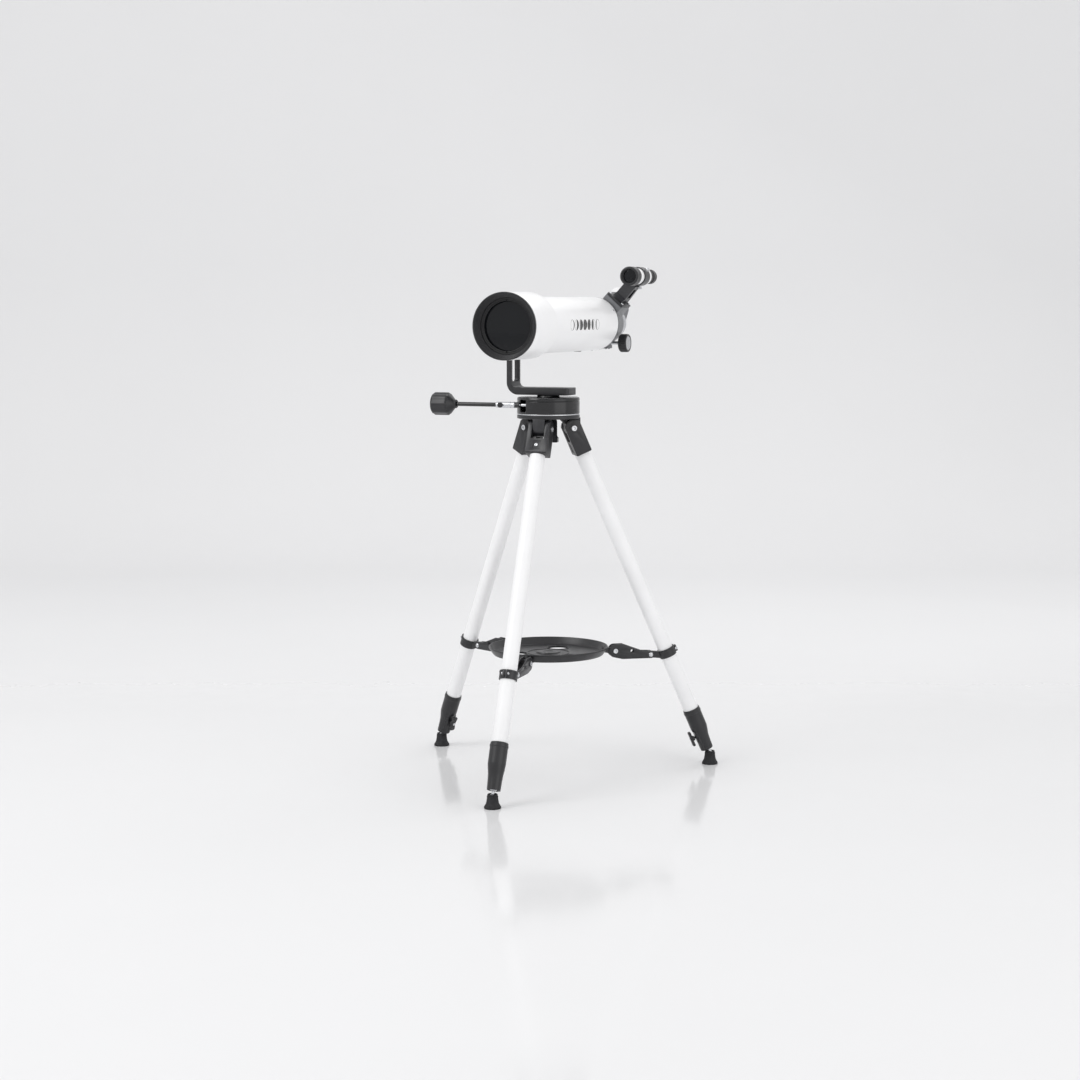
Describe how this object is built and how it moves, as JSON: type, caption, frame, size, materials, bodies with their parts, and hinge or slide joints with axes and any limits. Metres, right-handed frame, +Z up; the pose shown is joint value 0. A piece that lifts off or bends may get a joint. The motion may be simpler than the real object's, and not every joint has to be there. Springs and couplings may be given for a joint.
{
  "type": "telescope on a tripod",
  "caption": "Small white refractor telescope with finder, diagonal and eyepiece, on a turning mount with slow-motion control and a three-legged tripod with a spreader tray.",
  "frame": {"origin": "on the floor, at the middle of the object's outline seen from above", "axes": "+Z up; the tube is level and looks along -Y; the mount bracket and the slow-motion knob are on the -X side"},
  "size_m": [0.5098, 0.6522, 0.8354],
  "materials": {
    "black_plastic": "satin",
    "black_rubber": "matte",
    "blackened_metal": "matte",
    "brass": "satin",
    "bright_steel": "bright",
    "coated_glass": "clear",
    "grey_casting": "satin",
    "satin_aluminium": "satin",
    "white_enamel": "gloss"
  },
  "bodies": {
    "hub": {"tripod_head": "black_plastic", "friction_ring": "bright_steel", "azimuth_spindle": "bright_steel"},
    "lock_lever": {"azimuth_lock_lever": "black_plastic"},
    "tray": {"accessory_tray": "black_plastic"},
    "wheel": {"worm_wheel": "brass"},
    "turntable": {"azimuth_housing": "black_plastic", "bracket_stud_plate": "bright_steel", "mount_bracket": "black_plastic"},
    "worm": {"worm_shaft": "bright_steel", "coupling_sleeve": "bright_steel", "slow_motion_rod": "black_plastic", "slow_motion_knob": "black_plastic"},
    "coupling_screw": {"coupling_screw": "black_plastic"},
    "telescope": {"altitude_bolt": "bright_steel", "tube_saddle": "black_plastic", "main_tube": "white_enamel", "dew_shield": "white_enamel", "front_rim": "black_plastic", "lens_cell": "blackened_metal", "crown_lens": "coated_glass", "flint_lens": "coated_glass", "retaining_ring": "blackened_metal", "focuser_body": "grey_casting", "finder_bracket": "black_plastic", "finder_tube": "white_enamel"},
    "altitude_knob": {"altitude_knob": "black_plastic"},
    "drawtube": {"drawtube": "satin_aluminium"},
    "focus": {"focus_shaft": "bright_steel", "right_focus_knob": "black_plastic", "left_focus_knob": "black_plastic"},
    "drawtube_lock_screw": {"drawtube_lock_screw": "black_plastic"},
    "diagonal": {"diagonal_housing": "grey_casting", "prism": "coated_glass"},
    "eyepiece": {"eyepiece": "white_enamel"},
    "finder_eyepiece": {"finder_eyepiece": "black_plastic"},
    "front_leg": {"front_leg_yoke": "black_plastic", "front_upper_leg": "white_enamel", "front_spreader_collar": "black_plastic", "front_leg_clamp": "black_plastic"},
    "front_clamp_screw": {"front_clamp_screw": "black_plastic"},
    "front_lower_leg": {"front_lower_leg": "satin_aluminium"},
    "front_foot": {"front_foot": "black_rubber"},
    "front_arm": {"front_spreader_arm": "black_plastic"},
    "right_leg": {"right_leg_yoke": "black_plastic", "right_upper_leg": "white_enamel", "right_spreader_collar": "black_plastic", "right_leg_clamp": "black_plastic"},
    "right_clamp_screw": {"right_clamp_screw": "black_plastic"},
    "right_lower_leg": {"right_lower_leg": "satin_aluminium"},
    "right_foot": {"right_foot": "black_rubber"},
    "right_arm": {"right_spreader_arm": "black_plastic"},
    "left_leg": {"left_leg_yoke": "black_plastic", "left_upper_leg": "white_enamel", "left_spreader_collar": "black_plastic", "left_leg_clamp": "black_plastic"},
    "left_clamp_screw": {"left_clamp_screw": "black_plastic"},
    "left_lower_leg": {"left_lower_leg": "satin_aluminium"},
    "left_foot": {"left_foot": "black_rubber"},
    "left_arm": {"left_spreader_arm": "black_plastic"}
  },
  "joints": [
    {"name": "front_leg_fold", "type": "hinge", "parent": "hub", "child": "front_leg", "pos_m": [0.0106, -0.07302, 0.571], "axis": [0.9982, 0.0593, 0], "range_deg": [0, 7]},
    {"name": "front_leg_extend", "type": "slide", "parent": "front_leg", "child": "front_lower_leg", "axis": [0.0236, -0.398, -0.9171], "range_m": [0, 0.36]},
    {"name": "front_foot_tilt", "type": "hinge", "parent": "front_lower_leg", "child": "front_foot", "pos_m": [0.02486, -0.31305, 0.018], "axis": [0.9982, 0.0593, 0], "range_deg": [-15, 15]},
    {"name": "front_clamp_turn", "type": "hinge", "parent": "front_leg", "child": "front_clamp_screw", "pos_m": [0.02401, -0.29871, 0.05103], "axis": [-0.0544, 0.9154, -0.3987], "range_deg": [-180, 180]},
    {"name": "front_arm_fold", "type": "hinge", "parent": "tray", "child": "front_arm", "pos_m": [0.01499, -0.14689, 0.199], "axis": [0.9982, 0.0593, 0], "range_deg": [0, 69.8]},
    {"name": "right_leg_fold", "type": "hinge", "parent": "hub", "child": "right_leg", "pos_m": [0.04085, -0.01262, 0.571], "axis": [-0.5505, 0.8348, 0], "range_deg": [0, 7]},
    {"name": "right_leg_extend", "type": "slide", "parent": "right_leg", "child": "right_lower_leg", "axis": [0.3329, 0.2195, -0.9171], "range_m": [0, 0.36]},
    {"name": "right_foot_tilt", "type": "hinge", "parent": "right_lower_leg", "child": "right_foot", "pos_m": [0.24159, 0.11974, 0.018], "axis": [-0.5505, 0.8348, 0], "range_deg": [-15, 15]},
    {"name": "right_clamp_turn", "type": "hinge", "parent": "right_leg", "child": "right_clamp_screw", "pos_m": [0.2296, 0.11184, 0.05103], "axis": [-0.7656, -0.5048, -0.3987], "range_deg": [-180, 180]},
    {"name": "right_arm_fold", "type": "hinge", "parent": "tray", "child": "right_arm", "pos_m": [0.10262, 0.02811, 0.199], "axis": [-0.5505, 0.8348, 0], "range_deg": [0, 69.8]},
    {"name": "left_leg_fold", "type": "hinge", "parent": "hub", "child": "left_leg", "pos_m": [-0.02659, -0.01663, 0.571], "axis": [-0.4478, -0.8942, 0], "range_deg": [0, 7]},
    {"name": "left_leg_extend", "type": "slide", "parent": "left_leg", "child": "left_lower_leg", "axis": [-0.3565, 0.1785, -0.9171], "range_m": [0, 0.36]},
    {"name": "left_foot_tilt", "type": "hinge", "parent": "left_lower_leg", "child": "left_foot", "pos_m": [-0.24159, 0.09104, 0.018], "axis": [-0.4478, -0.8942, 0], "range_deg": [-15, 15]},
    {"name": "left_clamp_turn", "type": "hinge", "parent": "left_leg", "child": "left_clamp_screw", "pos_m": [-0.22875, 0.08461, 0.05103], "axis": [0.82, -0.4106, -0.3987], "range_deg": [-180, 180]},
    {"name": "left_arm_fold", "type": "hinge", "parent": "tray", "child": "left_arm", "pos_m": [-0.09275, 0.01651, 0.199], "axis": [-0.4478, -0.8942, 0], "range_deg": [0, 69.8]},
    {"name": "tray_rise", "type": "slide", "parent": "hub", "child": "tray", "axis": [0, 0, 1], "range_m": [0, 0.0386]},
    {"name": "lock_lever_turn", "type": "hinge", "parent": "hub", "child": "lock_lever", "pos_m": [0.00829, -0.03409, 0.58], "axis": [0, 0, 1], "range_deg": [0, 50]},
    {"name": "azimuth_clutch", "type": "hinge", "parent": "hub", "child": "wheel", "pos_m": [0.00829, -0.03409, 0.6092], "axis": [0, 0, 1], "continuous": true},
    {"name": "azimuth_turn", "type": "hinge", "parent": "wheel", "child": "turntable", "pos_m": [0.00829, -0.03409, 0.6092], "axis": [0, 0, 1], "continuous": true},
    {"name": "worm_turn", "type": "hinge", "parent": "turntable", "child": "worm", "pos_m": [0.00829, -0.06809, 0.6092], "axis": [1, 0, 0], "continuous": true},
    {"name": "coupling_screw_turn", "type": "hinge", "parent": "worm", "child": "coupling_screw", "pos_m": [-0.05971, -0.06809, 0.6092], "axis": [0, -1, 0], "range_deg": [-360, 360]},
    {"name": "altitude_turn", "type": "hinge", "parent": "turntable", "child": "telescope", "pos_m": [-0.05311, -0.03409, 0.7386], "axis": [-1, 0, 0], "range_deg": [-30, 40]},
    {"name": "altitude_knob_turn", "type": "hinge", "parent": "telescope", "child": "altitude_knob", "pos_m": [-0.06511, -0.03409, 0.7386], "axis": [-1, 0, 0], "range_deg": [-180, 180]},
    {"name": "drawtube_slide", "type": "slide", "parent": "telescope", "child": "drawtube", "axis": [0, 1, 0], "range_m": [0, 0.045]},
    {"name": "focus_turn", "type": "hinge", "parent": "telescope", "child": "focus", "pos_m": [0.00829, 0.21691, 0.705], "axis": [1, 0, 0], "range_deg": [-430, 0]},
    {"name": "drawtube_lock_turn", "type": "hinge", "parent": "telescope", "child": "drawtube_lock_screw", "pos_m": [-0.02671, 0.22291, 0.7386], "axis": [-1, 0, 0], "range_deg": [-360, 360]},
    {"name": "diagonal_turn", "type": "hinge", "parent": "drawtube", "child": "diagonal", "pos_m": [0.00829, 0.26291, 0.7386], "axis": [0, 1, 0], "continuous": true},
    {"name": "eyepiece_slide", "type": "slide", "parent": "diagonal", "child": "eyepiece", "axis": [0, 0.7071, 0.7071], "range_m": [0, 0.02]},
    {"name": "finder_focus", "type": "hinge", "parent": "telescope", "child": "finder_eyepiece", "pos_m": [0.08029, 0.23591, 0.8191], "axis": [0, 1, 0], "range_deg": [-180, 180]}
  ],
  "couplings": [
    {"joint": "front_arm_fold", "follows": "front_leg_fold", "ratio": 9.954},
    {"joint": "right_leg_fold", "follows": "front_leg_fold", "ratio": 1},
    {"joint": "right_arm_fold", "follows": "front_leg_fold", "ratio": 9.954},
    {"joint": "left_leg_fold", "follows": "front_leg_fold", "ratio": 1},
    {"joint": "left_arm_fold", "follows": "front_leg_fold", "ratio": 9.954},
    {"joint": "tray_rise", "follows": "front_leg_fold", "m_per_rad": 0.314},
    {"joint": "worm_turn", "follows": "azimuth_turn", "ratio": 60},
    {"joint": "focus_turn", "follows": "drawtube_slide", "rad_per_m": -166.67}
  ]
}
